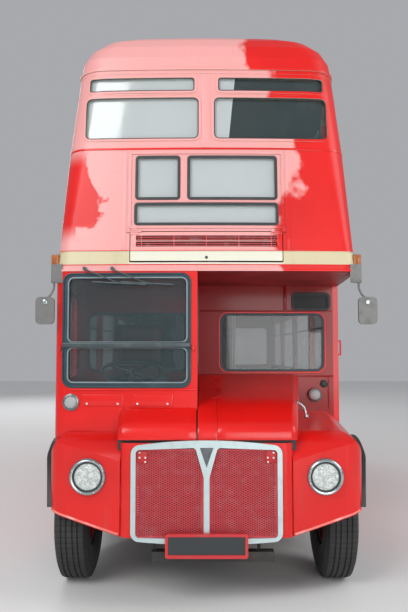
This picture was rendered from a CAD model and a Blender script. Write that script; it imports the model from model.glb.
from contextlib import contextmanager
from math import atan2, cos, pi, radians, sin, sqrt

import bmesh
import bpy
from mathutils import Matrix, Vector
from mathutils.bvhtree import BVHTree


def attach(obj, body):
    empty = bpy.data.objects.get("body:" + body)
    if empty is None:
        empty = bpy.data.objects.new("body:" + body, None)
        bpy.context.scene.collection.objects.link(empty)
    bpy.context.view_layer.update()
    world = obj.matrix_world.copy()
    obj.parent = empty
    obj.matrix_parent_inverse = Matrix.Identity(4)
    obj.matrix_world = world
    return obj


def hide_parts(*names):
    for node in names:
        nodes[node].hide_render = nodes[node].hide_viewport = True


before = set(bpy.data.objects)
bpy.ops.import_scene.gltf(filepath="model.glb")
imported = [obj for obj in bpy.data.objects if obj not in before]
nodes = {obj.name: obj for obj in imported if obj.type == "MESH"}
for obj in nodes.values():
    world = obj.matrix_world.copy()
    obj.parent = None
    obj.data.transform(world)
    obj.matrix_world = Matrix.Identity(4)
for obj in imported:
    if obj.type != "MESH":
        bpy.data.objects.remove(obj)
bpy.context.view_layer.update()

# Camera, studio and light
# The bus is seen square on from eye height, close enough for its front to loom. It stands on a plain pale
# floor under a soft even light from above and from the front.
length = 8.382
front_y = -length / 2
eye_x, eye_level, eye_distance = -0.018, 1.796, 4.76
eye_pitch = radians(3.68)
film_height, focal_length = 36.0, 39.94
camera_data = bpy.data.cameras.new("camera")
camera_data.sensor_fit = "VERTICAL"
camera_data.sensor_height = film_height
camera_data.lens = focal_length
camera_data.clip_end = 200.0
camera = bpy.data.objects.new("camera", camera_data)
camera.location = (eye_x, front_y - eye_distance, eye_level)
camera.rotation_euler = (pi / 2 + eye_pitch, 0, 0)
bpy.context.collection.objects.link(camera)
bpy.context.scene.camera = camera
bpy.context.scene.view_settings.view_transform = "Standard"

for name, place, target, size, power in (
    ("front_lamp", (-6.0, -13.0, 9.0), (0, -3.0, 2.0), 6.0, 880.0),
    ("side_lamp", (12.0, -6.0, 8.0), (0, 0, 2.0), 7.0, 620.0),
    ("low_lamp", (3.0, -14.0, 3.0), (0, -4.0, 1.5), 5.0, 380.0),
    ("rear_lamp", (-6.0, 14.0, 9.0), (0, 2.0, 2.0), 7.0, 600.0),
):
    lamp_data = bpy.data.lights.new(name, "AREA")
    lamp_data.shape = "SQUARE"
    lamp_data.size = size
    lamp_data.energy = power
    lamp = bpy.data.objects.new(name, lamp_data)
    lamp.location = place
    lamp.rotation_euler = (Vector(target) - Vector(place)).to_track_quat("-Z", "Y").to_euler()
    bpy.context.collection.objects.link(lamp)

world = bpy.data.worlds.new("studio")
bpy.context.scene.world = world
world.use_nodes = True
sky_light = world.node_tree.nodes["Background"].inputs
sky_light["Color"].default_value = (0.93, 0.95, 1.0, 1)
sky_light["Strength"].default_value = 0.42


class Wire:
    """An output socket of a shader node that takes part in sums."""

    def __init__(self, finish, socket):
        self.finish = finish
        self.socket = socket

    def maths(self, operation, *values):
        return self.finish.node("ShaderNodeMath", {"operation": operation}, dict(enumerate((self,) + values)))

    def __add__(self, other):
        return self.maths("ADD", other)

    def __sub__(self, other):
        return self.maths("SUBTRACT", other)

    def __rsub__(self, other):
        return self.finish.node("ShaderNodeMath", {"operation": "SUBTRACT"}, {0: other, 1: self})

    def __mul__(self, other):
        return self.maths("MULTIPLY", other)

    def __truediv__(self, other):
        return self.maths("DIVIDE", other)

    def __mod__(self, other):
        return self.maths("FLOORED_MODULO", other)

    def __abs__(self):
        return self.maths("ABSOLUTE")

    def __gt__(self, other):
        return self.maths("GREATER_THAN", other)

    def __lt__(self, other):
        return self.maths("LESS_THAN", other)

    __radd__ = __add__
    __rmul__ = __mul__

    def ramp(self, low, high):
        """0 below low, 1 above high, and smooth between them."""
        values = {"Value": self, "From Min": low, "From Max": high}
        return self.finish.node("ShaderNodeMapRange", {"interpolation_type": "SMOOTHSTEP"}, values)


class Finish:
    """A material as it is made up: its nodes, and the surface they feed."""

    def __init__(self, name):
        self.material = bpy.data.materials.new(name)
        self.material.use_nodes = True
        self.tree = self.material.node_tree
        self.surface = self.tree.nodes["Principled BSDF"]
        self.place = self.node("ShaderNodeTexCoord", {}, {}, "Object")
        self.facing = self.node("ShaderNodeTexCoord", {}, {}, "Normal")

    def node(self, kind, settings, values, output=0):
        """Adds a node, sets it up, links or sets its sockets, and gives one of its outputs."""
        made = self.tree.nodes.new(kind)
        for name, value in settings.items():
            setattr(made, name, value)
        for name, value in values.items():
            self.feed(made.inputs[name], value)
        return Wire(self, made.outputs[output])

    def feed(self, socket, value):
        if isinstance(value, Wire):
            self.tree.links.new(value.socket, socket)
        elif isinstance(value, tuple) and len(value) == 3 and socket.type == "RGBA":
            socket.default_value = value + (1,)
        else:
            socket.default_value = value

    def set(self, **values):
        """Sets or links sockets of the surface, named with _ for a space."""
        for name, value in values.items():
            self.feed(self.surface.inputs[name.replace("_", " ")], value)

    def parts(self, vector):
        """The x, y and z of a vector."""
        split = self.tree.nodes.new("ShaderNodeSeparateXYZ")
        self.feed(split.inputs[0], vector)
        return [Wire(self, output) for output in split.outputs]

    def noise(self, scale, detail=3.0, stretch=None, distortion=0.0):
        place = self.place
        if stretch:
            place = self.node("ShaderNodeMapping", {}, {"Vector": place, "Scale": stretch})
        values = {"Vector": place, "Scale": scale, "Detail": detail, "Distortion": distortion}
        return self.node("ShaderNodeTexNoise", {}, values)

    def mix(self, factor, first, second):
        """The first colour where the factor is 0, the second where it is 1."""
        made = self.tree.nodes.new("ShaderNodeMix")
        made.data_type = "RGBA"
        for index, value in ((0, factor), (6, first), (7, second)):
            self.feed(made.inputs[index], value)
        return Wire(self, made.outputs[2])

    def bump(self, height, strength=0.3, distance=0.002):
        values = {"Height": height, "Strength": strength, "Distance": distance}
        self.set(Normal=self.node("ShaderNodeBump", {}, values))


def dress(finish, *node_names):
    """Gives CAD nodes a finish."""
    for name in node_names:
        slots = nodes[name].data.materials
        slots.clear()
        slots.append(finish.material)


def deselect():
    for item in bpy.context.selected_objects:
        item.select_set(False)


deselect()
floor_finish = Finish("studio_floor")
floor_finish.set(Base_Color=(0.8, 0.8, 0.79), Roughness=0.7)
bpy.ops.mesh.primitive_grid_add(x_subdivisions=4, y_subdivisions=4, size=60.0, location=(0, 0, 0))
floor = bpy.context.object
floor.name = "studio_floor"
floor.data.materials.append(floor_finish.material)

# Painted bodywork
# Aluminium panels on a frame, sprayed bright red and varnished, with one cream band between the decks. Sun
# and rain have chalked the paint on the roof and the upper front, and the inner sides are lined in dark red.
coach_red, chalked_red, lining_red = (0.7, 0.009, 0.007), (0.8, 0.48, 0.46), (0.17, 0.018, 0.016)
chip_red, road_dust = (0.45, 0.05, 0.05), (0.2, 0.11, 0.09)
cream, dirty_cream, flap_cream = (0.6, 0.53, 0.34), (0.48, 0.41, 0.27), (0.7, 0.69, 0.57)
ceiling_cream = (0.55, 0.49, 0.36)
band_low, band_high, flap_reach = 2.437, 2.538, 0.576
bulkhead_station = 1.5
canopy_level, upper_waist_level, gutter_level = 2.384, 3.34, 3.99
middle_level, lining_top, bonnet_top = 2.3, 3.35, 1.62


def paint_finish(name, chalk=0.0, shade=1.0):
    """Coach paint with its cream band; chalk is how far the weather has faded it."""
    paint = Finish(name)
    x, y, z = paint.parts(paint.place)
    nx, ny, nz = paint.parts(paint.facing)
    broad = paint.noise(1.3, 4.0)
    fine = paint.noise(38.0, 2.0)
    streak = paint.noise(6.0, 3.0, (3.0, 3.0, 0.25))
    red = tuple(value * shade for value in coach_red)
    deep = tuple(value * shade * 0.84 for value in coach_red)
    colour = paint.mix(broad.ramp(0.35, 0.7), red, deep)
    if chalk:
        patch = paint.noise(2.2, 6.0)
        clean_side = (x + (patch - 0.5) * 1.1 - 0.56 + (z > gutter_level) * 0.25).ramp(-0.03, 0.05)
        scuffed = ((patch - 0.5) * 1.3 - x - 0.92).ramp(0.0, 0.04) * (1 - abs(z - 2.98).ramp(0.22, 0.4))
        spread = (1 - clean_side) * (1 - scuffed)
        colour = paint.mix(spread * chalk, colour, chalked_red)
        chips = paint.noise(60.0, 4.0).ramp(0.7, 0.74) * 0.5
        colour = paint.mix(chips, colour, chip_red)
    dust = (streak.ramp(0.55, 0.8) * (1 - z.ramp(0.3, 1.3))) * 0.35
    colour = paint.mix(dust, colour, road_dust)
    band = (z > band_low) * (z < band_high)
    on_flap = (abs(x) < flap_reach) * (y < front_y + 0.6)
    band_colour = paint.mix(streak.ramp(0.5, 0.8) * 0.35, cream, dirty_cream)
    band_colour = paint.mix(on_flap, band_colour, flap_cream)
    colour = paint.mix(band, colour, band_colour)
    bonnet_side = (z < bonnet_top) * (y < front_y + bulkhead_station)
    inner = ((nx * x + ny * y * 0.25 + nz * (z - middle_level) * 0.5) < 0) * (1 - bonnet_side)
    colour = paint.mix(inner, colour, paint.mix(z > lining_top, lining_red, ceiling_cream))
    paint.set(Base_Color=colour, Roughness=0.25 + fine * 0.1 + inner * 0.25 + chalk * 0.2)
    paint.set(Coat_Weight=(0.28 - chalk * 0.2) - inner * 0.08, Coat_Roughness=0.12, Specular_IOR_Level=0.3)
    paint.bump(fine, 0.06, 0.0008)
    return paint


coach_paint = paint_finish("coach_paint")
weathered_paint = paint_finish("weathered_paint", 0.7)
shaded_paint = paint_finish("shaded_paint", shade=0.42)
shaded_paint.set(Specular_IOR_Level=0.15)
dress(
    coach_paint, "bonnet", "bonnet_fixed", "cab_door", "cab_front", "cab_side", "front_cowl", "front_wings",
    "lower_rear", "lower_side_near", "lower_side_off", "upper_side_near", "upper_side_off", "upper_rear",
    "emergency_window",
)
dress(weathered_paint, "roof", "upper_front", "intake_flap")
dress(shaded_paint, "front_bulkhead")

# Mouldings on the bodywork
# Half-round aluminium beads cover the panel joints all round and are painted with them. They are laid on the
# body's own outline, which is bowed at both ends, upright up to the canopy and drawn in above it.
front_sag, rear_sag, rear_corner = 0.04, 0.05, 0.26
# level, half width of the sides, half width at the front, front station, rear station, front corner radius
body_rows = [
    (0.38, 1.219, 1.135, 0.295, 8.382, 0.095),
    (canopy_level, 1.219, 1.135, 0.295, 8.382, 0.095),
    (upper_waist_level, 1.175, 1.068, 0.382, 8.35, 0.1955),
    (gutter_level, 1.105, 1.0, 0.445, 8.302, 0.23),
]


def round_between(centre, start, end, steps):
    """Points on a circle round the centre, after the start and up to the end."""
    first, last = start - centre, end - centre
    angle, sweep = atan2(first.y, first.x), first.angle_signed(last)
    turns = [angle - sweep * k / steps for k in range(1, steps + 1)]
    return [centre + first.length * Vector((cos(turn), sin(turn))) for turn in turns]


def row_outline(row):
    """Half of a row's outline in plan, from the middle of the front to the middle of the rear."""
    side_x, corner_x, t_front, t_rear, corner = row[1:]
    bow = (corner_x ** 2 + front_sag ** 2) / (2 * front_sag)
    nose, bow_centre = Vector((0, t_front)), Vector((0, t_front + bow))
    first, waist = Vector((corner_x, t_front + front_sag)), Vector((side_x, bulkhead_station))
    along = (waist - first).normalized()
    inward = Vector((-along.y, along.x))
    start = first + inward * corner - bow_centre
    back = -start.dot(along)
    distance = back - sqrt(back ** 2 - start.dot(start) + (bow - corner) ** 2)
    turn = bow_centre + start + along * distance
    on_front = bow_centre + (turn - bow_centre).normalized() * bow
    on_side = turn - inward * corner
    points = [nose] + round_between(bow_centre, nose, on_front, 10)
    points += round_between(turn, on_front, on_side, 8)
    points += [on_side.lerp(waist, k / 4) for k in range(1, 5)]
    rear_bow = (side_x ** 2 + rear_sag ** 2) / (2 * rear_sag)
    rear_centre = Vector((0, t_rear - rear_bow))
    turn = Vector((side_x - rear_corner, 0))
    turn.y = rear_centre.y + sqrt((rear_bow - rear_corner) ** 2 - turn.x ** 2)
    on_side = Vector((side_x, turn.y))
    on_rear = rear_centre + (turn - rear_centre).normalized() * rear_bow
    points += [waist.lerp(on_side, k / 12) for k in range(1, 13)]
    points += round_between(turn, on_side, on_rear, 8)
    return points + round_between(rear_centre, on_rear, Vector((0, t_rear)), 10)


def outline_at(level):
    """The same at any level of the walls."""
    for low, high in zip(body_rows, body_rows[1:]):
        if level <= high[0]:
            share = max(0, level - low[0]) / (high[0] - low[0])
            return [a.lerp(b, share) for a, b in zip(row_outline(low), row_outline(high))]


def on_frame(x, station, level):
    """The place at a distance across, a distance back from the foremost point, and a height."""
    return Vector((x, front_y + station, level))


def grid_faces(rows, columns, first=0):
    """The faces of a grid whose points are listed row by row."""
    starts = [first + k * columns + j for k in range(rows - 1) for j in range(columns - 1)]
    return [(start, start + 1, start + columns + 1, start + columns) for start in starts]


skin_points, skin_faces = [], []
for side in (1, -1):
    count = len(row_outline(body_rows[0]))
    skin_faces += grid_faces(len(body_rows), count, len(skin_points))
    for row in body_rows:
        skin_points += [on_frame(side * p.x, p.y, row[0]) for p in row_outline(row)]
body_skin = BVHTree.FromPolygons(skin_points, skin_faces)


def mesh_piece(points, faces):
    """A piece made from its points and faces."""
    mesh = bpy.data.meshes.new("piece")
    mesh.from_pydata(points, [], faces)
    piece = bpy.data.objects.new("piece", mesh)
    bpy.context.collection.objects.link(piece)
    return piece


def activate(piece):
    deselect()
    piece.select_set(True)
    bpy.context.view_layer.objects.active = piece


def join(pieces):
    """Joins pieces into the first."""
    activate(pieces[0])
    for piece in pieces:
        piece.select_set(True)
    bpy.ops.object.join()
    return pieces[0]


@contextmanager
def shaping():
    """Edit mode, with all of the active piece selected."""
    bpy.ops.object.mode_set(mode="EDIT")
    bpy.ops.mesh.select_all(action="SELECT")
    yield
    bpy.ops.object.mode_set(mode="OBJECT")


def apply_modifier(piece, kind, **settings):
    """Adds a modifier, sets it up and applies it."""
    activate(piece)
    modifier = piece.modifiers.new(kind.lower(), kind)
    for name, value in settings.items():
        setattr(modifier, name, value)
    bpy.ops.object.modifier_apply(modifier=modifier.name)


def smooth(angle):
    bpy.ops.object.shade_smooth_by_angle(angle=radians(angle))


def round_edges(piece, width, segments=2, angle=30):
    """Rounds the edges that turn by more than an angle."""
    settings = {"width": width, "segments": segments, "angle_limit": radians(angle)}
    apply_modifier(piece, "BEVEL", limit_method="ANGLE", **settings)
    return piece


def thicken(piece, thickness, edge, segments=2):
    """Gives a sheet its thickness outwards and rounds its edges."""
    apply_modifier(piece, "SOLIDIFY", thickness=thickness, offset=1.0)
    if edge:
        round_edges(piece, edge, segments, 40)
    smooth(35)
    return piece


def add_piece(piece, name, finish, body="body"):
    """Names a finished piece, or several as one, gives it its finish and puts it on its body."""
    if isinstance(piece, list):
        piece = join(piece)
    piece.name = name
    piece.data.name = name
    piece.data.materials.clear()
    piece.data.materials.append(finish.material)
    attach(piece, body)
    deselect()
    return piece


def bead(low, high, stand, x_start=0.0, t_end=9.0):
    """A flat moulding laid round the body, from a distance across the front back to a station."""
    low_line, high_line = outline_at(low), outline_at(high)
    rows = [(a, b) for a, b in zip(low_line, high_line) if a.y <= t_end and (a.x >= x_start or a.y > 1.0)]
    if x_start:
        lead = next(k for k, a in enumerate(low_line) if a.x >= x_start)
        share = (x_start - low_line[lead - 1].x) / (low_line[lead].x - low_line[lead - 1].x)
        rows.insert(0, tuple(line[lead - 1].lerp(line[lead], share) for line in (low_line, high_line)))
    halves = []
    for side in (1, -1):
        points = [on_frame(side * p.x, p.y, level) for pair in rows for p, level in zip(pair, (low, high))]
        faces = [(2 * k, 2 * k + 2, 2 * k + 3, 2 * k + 1)[::side] for k in range(len(rows) - 1)]
        halves.append(mesh_piece(points, faces))
    piece = join(halves)
    with shaping():
        bpy.ops.mesh.remove_doubles(threshold=0.0002)
    return thicken(piece, stand, min(stand, high - low) * 0.45)


flap_half_width, flap_gap = 0.58, 0.006
add_piece(bead(2.534, 2.544, 0.004, flap_half_width + flap_gap), "band_top_bead", coach_paint)
add_piece(bead(2.43, 2.44, 0.004), "band_foot_bead", coach_paint)
add_piece(bead(canopy_level, 2.402, 0.006, t_end=1.47), "canopy_edge", weathered_paint)
add_piece(bead(3.334, 3.35, 0.003), "upper_waist_bead", coach_paint)
add_piece(bead(3.958, 3.972, 0.003), "cantrail_bead", weathered_paint)

# Bead along the waist of the lower saloon, and cover strips down its panel joints
# The strips are flat aluminium sections screwed over the joints at every pillar. The lower bead stops at the
# rear wheel's arch.
front_axle_station, rear_axle_station, axle_level = 0.813, 5.944, 0.505
bead_start, arch_half, bead_x, strip_x = 1.53, 0.62, 1.221, 1.2205


def block(size, middle, edge=0.0, segments=2, slope=0.0):
    """A block with rounded edges."""
    deselect()
    bpy.ops.mesh.primitive_cube_add(size=1)
    piece = bpy.context.object
    piece.scale = size
    piece.location = middle
    piece.rotation_euler = (slope, 0, 0)
    bpy.ops.object.transform_apply(location=True, rotation=True, scale=True)
    return round_edges(piece, edge, segments) if edge else piece


waist_beads, strips = [], []
for side, t_last in ((1, 7.14), (-1, 7.95)):
    for low, high in ((1.486, 1.5), (0.9, 0.912)):
        middle = on_frame(side * bead_x, (bead_start + t_last) / 2, (low + high) / 2)
        rail = block((0.004, t_last - bead_start, high - low), middle)
        if low < 1:
            with shaping():
                for station in (rear_axle_station - arch_half, rear_axle_station + arch_half):
                    bpy.ops.mesh.select_all(action="SELECT")
                    bpy.ops.mesh.bisect(plane_co=on_frame(0, station, 0), plane_no=(0, 1, 0))
                mesh = bmesh.from_edit_mesh(rail.data)
                axle_y = front_y + rear_axle_station
                inside = [f for f in mesh.faces if abs(f.calc_center_median().y - axle_y) < arch_half - 0.001]
                bmesh.ops.delete(mesh, geom=inside, context="FACES")
                bpy.ops.mesh.select_all(action="SELECT")
                bpy.ops.mesh.select_non_manifold()
                bpy.ops.mesh.fill()
        waist_beads.append(round_edges(rail, 0.0016))
    for station in (bead_start, 2.94, 4.35, t_last - 0.02):
        for low, high in ((0.42, 0.899), (0.913, 1.485)):
            middle = on_frame(side * strip_x, station, (low + high) / 2)
            strips.append(block((0.003, 0.03, high - low), middle, 0.0012))
add_piece(waist_beads, "waist_beads", coach_paint)
add_piece(strips, "panel_strips", coach_paint)

# Window glass and its rubbers
# Flat toughened panes, a little green at the edge, are glazed in black rubber sections that lap the panel and
# the pane. Through them the two saloons show.
outward = {
    "front": (Vector((0, -1, 0)), (pi / 2, 0, 0)),
    "rear": (Vector((0, 1, 0)), (-pi / 2, 0, 0)),
    "near": (Vector((1, 0, 0)), (0, pi / 2, 0)),
    "off": (Vector((-1, 0, 0)), (0, -pi / 2, 0)),
}


def panel(face, low, high, z_low, z_high):
    """A flat sheet outside one face of the body, between two distances across or back and two levels."""
    out, turn = outward[face]
    middle, level = (low + high) / 2, (z_low + z_high) / 2
    deselect()
    bpy.ops.mesh.primitive_plane_add(size=1, rotation=turn)
    sheet = bpy.context.object
    if out.y:
        sheet.location = (middle, 6 * out.y, level)
        sheet.scale = (high - low, z_high - z_low, 1)
    else:
        sheet.location = (3 * out.x, front_y + middle, level)
        sheet.scale = (z_high - z_low, high - low, 1)
    bpy.ops.object.transform_apply(location=True, rotation=True, scale=True)
    return sheet


def round_corners(sheet, corner, segments=6):
    """Rounds the corners of a flat sheet."""
    with shaping():
        bpy.ops.mesh.bevel(offset=corner, affect="VERTICES", segments=segments)
    return sheet


def divide(sheet):
    """Cuts the long edges of a sheet, so that it can follow the body."""
    with shaping():
        bpy.ops.mesh.select_all(action="DESELECT")
        for edge in bmesh.from_edit_mesh(sheet.data).edges:
            edge.select = edge.calc_length() > 0.15
        bmesh.update_edit_mesh(sheet.data)
        bpy.ops.mesh.subdivide(number_cuts=7)
    return sheet


def ring(face, low, high, z_low, z_high, corner, width):
    """A flat ring with round corners, drawn by its outer edge."""
    sheet = round_corners(panel(face, low, high, z_low, z_high), corner)
    with shaping():
        bpy.ops.mesh.inset(thickness=width)
        bpy.ops.mesh.delete(type="FACE")
    return divide(sheet)


def lay_on(sheet, stand, edge, segments=2, face="front", lift=0.0):
    """Moves a sheet inwards until it lies on the body, or a lift off it, and gives it its thickness."""
    out = outward[face][0]
    for vertex in sheet.data.vertices:
        vertex.co = body_skin.ray_cast(vertex.co, -out)[0] + out * lift
    return thicken(sheet, stand, edge, segments) if stand else sheet


def front_strip(low, high, z_low, z_high, stand, edge, segments=2, lift=0.0):
    """A strip laid on the front."""
    return lay_on(divide(panel("front", low, high, z_low, z_high)), stand, edge, segments, lift=lift)


def window_rubber(face, low, high, z_low, z_high, corner, lap=0.008, bite=0.011, stand=0.006):
    """The rubber of one window, from its opening's edges in millimetres."""
    low, high, z_low, z_high = (value / 1000 for value in (low, high, z_low, z_high))
    rubber = ring(face, low - lap, high + lap, z_low - lap, z_high + lap, corner / 1000 + lap, lap + bite)
    return lay_on(rubber, stand, stand * 0.4, face=face)


def worn_finish(name, colour, worn, rough, scale=8.0, share=0.4, metallic=0.0, bump=0.08, coat=0.0):
    """A finish in two tones: the clean one, and what wear and dust make of it in patches."""
    made = Finish(name)
    patch = made.noise(scale, 5.0).ramp(0.48, 0.72) * share
    grain = made.noise(scale * 22, 2.0)
    made.set(Base_Color=made.mix(patch, colour, worn), Roughness=rough + grain * 0.12 + patch * 0.25)
    made.set(Metallic=metallic, Coat_Weight=coat)
    made.bump(grain, bump, 0.0006)
    return made


def glass_finish(name, tint, cover):
    """Glass with a film of dust, thickest on the offside panes upstairs and over the destination blinds."""
    glass = Finish(name)
    x, y, z = glass.parts(glass.place)
    haze = glass.noise(3.0, 4.0)
    streak = glass.noise(9.0, 3.0, (1, 1, 0.2))
    offside_pane = (z > 3.38) * (x - (z - 3.38) * 0.1 < 0.17)
    blind_pane = (z > 2.7) * (z < 3.31)
    film = (offside_pane + blind_pane) * (y < front_y + 0.6)
    colour = glass.mix(streak.ramp(0.5, 0.8) * 0.4, tint, tuple(0.6 * value + 0.12 for value in tint))
    glass.set(Base_Color=glass.mix(film * 0.85, colour, (0.62, 0.67, 0.67)), Roughness=0.04 + haze * 0.05)
    glass.set(Alpha=cover + haze * 0.08 + film * 0.42, Specular_IOR_Level=0.8)
    return glass


dress(
    glass_finish("window_glass", (0.055, 0.085, 0.092), 0.3), "glazing", "cab_door_glass", "emergency_glass",
)
black_rubber = worn_finish("black_rubber", (0.022, 0.028, 0.03), (0.1, 0.1, 0.095), 0.5, share=0.25)

# across or back, level, corner radius, in millimetres
upper_front_windows = [
    (56, 944, 3420, 3762, 45), (89, 920, 3812, 3927, 25),
    (-944, -56, 3420, 3762, 45), (-920, -89, 3812, 3927, 25),
]
bay = 1410
upper_bays = [(1545 + bay * k, 2865 + bay * k, 3400, 3890, 60) for k in range(4)]
lower_bays = [(1565 + bay * k, 2865 + bay * k, 1540, 2230, 60) for k in range(4)]
side_windows = [(680, 1455, 3400, 3890, 60)] + upper_bays + [(7185, 7940, 3400, 3890, 60)] + lower_bays
rubbers = [window_rubber("front", *window, lap=-0.004, stand=0.0025) for window in upper_front_windows]
surrounds = [window_rubber("front", *window, lap=0.016, bite=0.003) for window in upper_front_windows]
add_piece(surrounds, "upper_front_surrounds", weathered_paint)
rubbers += [window_rubber(face, *window) for face in ("near", "off") for window in side_windows]
rubbers.append(window_rubber("rear", -620, 340, 1540, 2170, 60, stand=0.002))
rubbers.append(window_rubber("off", 500, 770, 1562, 2250, 50, stand=0.004))
add_piece(rubbers, "window_rubbers", black_rubber)
exit_rubbers = [window_rubber("rear", low, low + 455, 3440, 3820, 30, stand=0.003) for low in (-480, 25)]
add_piece(exit_rubbers, "exit_window_rubbers", black_rubber, "emergency_window")
door_rubber = window_rubber("off", 890, 1360, 1562, 2240, 50, stand=0.004)
add_piece(door_rubber, "cab_door_rubber", black_rubber, "cab_door")

# Sliding ventilators in the side windows
# The upper third of each saloon window is a pair of panes that slide in bright aluminium channels.
bright_trim = worn_finish("bright_trim", (0.62, 0.64, 0.65), (0.34, 0.34, 0.33), 0.3, 14.0, 0.5, 0.85)
channels = []
channel_lift, edge_gap, stile_width = -0.0195, 0.012, 0.018
for face in ("near", "off"):
    for windows, share in ((upper_bays, 0.66), (lower_bays, 0.7)):
        for t_low, t_high, z_low, z_high, corner in windows:
            level = (z_low + (z_high - z_low) * share) / 1000
            start, end, top, middle = t_low / 1000, t_high / 1000, z_high / 1000, (t_low + t_high) / 2000
            channel = panel(face, start + edge_gap, end - edge_gap, level - 0.011, level + 0.011)
            channels.append(lay_on(divide(channel), 0.009, 0.002, face=face, lift=channel_lift))
            for station in (middle - 0.012, middle + 0.26):
                stile = panel(face, station, station + stile_width, level + 0.009, top - edge_gap)
                channels.append(lay_on(stile, 0.007, 0.002, face=face, lift=channel_lift))
add_piece(channels, "ventilator_channels", bright_trim)

# Cover strips and the surround of the destination box on the upper front
# Thin aluminium strips, with rows of round rivets, cover the joints between the front panels. A raised
# surround holds the three glasses of the destination box.
strips = [front_strip(*edges, 0.0025, 0.001) for edges in (
    (-0.031, 0.031, 3.352, 3.955),
    (0.604, 0.638, 2.546, 3.332),
    (-0.638, -0.604, 2.546, 3.332),
    (-1.0, 1.0, 3.782, 3.794),
)]
strips.append(lay_on(ring("front", -0.592, 0.592, 2.712, 3.318, 0.012, 0.02), 0.006, 0.002))
strips.append(lay_on(ring("front", -0.578, 0.578, 2.722, 2.926, 0.01, 0.009), 0.004, 0.0015))
add_piece(strips, "front_cover_strips", weathered_paint)

box_windows = [(-534, -208, 2944, 3276, 18), (-137, 533, 2944, 3276, 18), (-539, 539, 2745, 2903, 18)]
box_rubbers = [window_rubber("front", *window, lap=0.01, bite=0.012, stand=0.005) for window in box_windows]
add_piece(box_rubbers, "destination_rubbers", black_rubber)

# Blank blinds of the destination box
# Linen on rollers, faintly ribbed and yellowed by the sun, in the shade of the box near its edges.
blinds = Finish("blank_blinds")
z = blinds.parts(blinds.place)[2]
fold = blinds.noise(4.0, 3.0, (0.3, 1, 3))
colour = blinds.mix(fold.ramp(0.35, 0.7), (0.86, 0.92, 0.92), (0.78, 0.86, 0.86))
shadow = (abs(z - 3.11) > 0.148) * (z > 2.93) + (abs(z - 2.824) > 0.066) * (z < 2.93)
blinds.set(Base_Color=blinds.mix(shadow * 0.35, colour, (0.4, 0.46, 0.47)), Roughness=0.8)
blinds.bump(fold, 0.2, 0.003)
dress(blinds, "destination_box")

# Rivets on the upper front
# Round heads run down the middle of each side strip, in two rows down the centre strip, and in one row under
# the roof.


def on_front(x, level, stand=0.0):
    """The place on the body's front at a distance across and a level."""
    return body_skin.ray_cast(Vector((x, -6, level)), Vector((0, 1, 0)))[0] - Vector((0, stand, 0))


def copy_of(model, matrix):
    """A copy of a piece, with its own mesh, moved by a matrix."""
    copied = bpy.data.objects.new("copy", model.data.copy())
    copied.data.transform(matrix)
    bpy.context.collection.objects.link(copied)
    return copied


rivet_radius = 0.0045
rivet_places = [(x, 2.58 + k * 0.06) for k in range(13) for x in (-0.621, 0.621)]
rivet_places += [(x, 3.38 + k * 0.06) for k in range(10) for x in (-0.022, 0.022)]
rivet_places += [(k * 0.058, 3.945) for k in range(-16, 17)]
bpy.ops.mesh.primitive_uv_sphere_add(segments=8, ring_count=4, radius=rivet_radius, rotation=(pi / 2, 0, 0))
head = bpy.context.object
bpy.ops.object.transform_apply(rotation=True)
with shaping():
    cut = (0, rivet_radius * 0.2, 0)
    bpy.ops.mesh.bisect(plane_co=cut, plane_no=(0, 1, 0), clear_outer=True, use_fill=True)
heads = [copy_of(head, Matrix.Translation(on_front(*place))) for place in rivet_places]
bpy.data.objects.remove(head)
add_piece(heads, "front_rivets", weathered_paint)

# Intake flap
# A hinged panel over the heater's air intake. Its two slots are guarded by round rods on five stays, and a
# budget lock in the cream band keeps it shut.
dark_gauze = worn_finish("dark_gauze", (0.012, 0.014, 0.016), (0.03, 0.03, 0.03), 0.8, 30.0)
rod_finish = worn_finish("rod_paint", (0.62, 0.1, 0.1), (0.75, 0.35, 0.33), 0.45, 20.0, 0.6)
slots = ((2.5725, 2.6105), (2.6185, 2.6565))
backs = [front_strip(-0.53, 0.53, z_low, z_high, 0.0, 0.0, lift=-0.034) for z_low, z_high in slots]
add_piece(backs, "intake_gauze", dark_gauze, "intake_flap")


def tube(points, radius, sides=8, smoothed=False):
    """A round bar along points."""
    line = bpy.data.curves.new("tube", "CURVE")
    line.dimensions = "3D"
    line.bevel_depth = radius
    line.bevel_resolution = max(0, sides // 4 - 1)
    line.use_fill_caps = True
    spline = line.splines.new("NURBS" if smoothed else "POLY")
    spline.points.add(len(points) - 1)
    for point, place in zip(spline.points, points):
        point.co = (*place, 1)
    if smoothed:
        spline.order_u = 3
        spline.use_endpoint_u = True
        spline.resolution_u = 6
    bar = bpy.data.objects.new("tube", line)
    bpy.context.collection.objects.link(bar)
    activate(bar)
    bpy.ops.object.convert(target="MESH")
    return bpy.context.object


rods = []
for level in (2.582, 2.5975, 2.629, 2.6455):
    rods.append(tube([on_front(x * 0.0527, level, -0.008) for x in range(-10, 11)], 0.0036))
for x in (-0.49, -0.245, 0, 0.245, 0.49):
    rods.append(tube([on_front(x, level, -0.003) for level in (2.566, 2.664)], 0.0034))
add_piece(rods, "intake_rods", rod_finish, "intake_flap")
flap_bead = front_strip(-0.573, 0.573, 2.534, 2.544, 0.004, 0.0016)
add_piece(flap_bead, "flap_bead", coach_paint, "intake_flap")
for body, z_low, z_high in (("intake_flap", 2.575, 2.676), ("body", 2.698, 2.722)):
    plates = [front_strip(x, x + 0.026, z_low, z_high, 0.003, 0.001) for x in (-0.558, 0.532)]
    add_piece(plates, "hinge_plates_" + body, weathered_paint, body)


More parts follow.
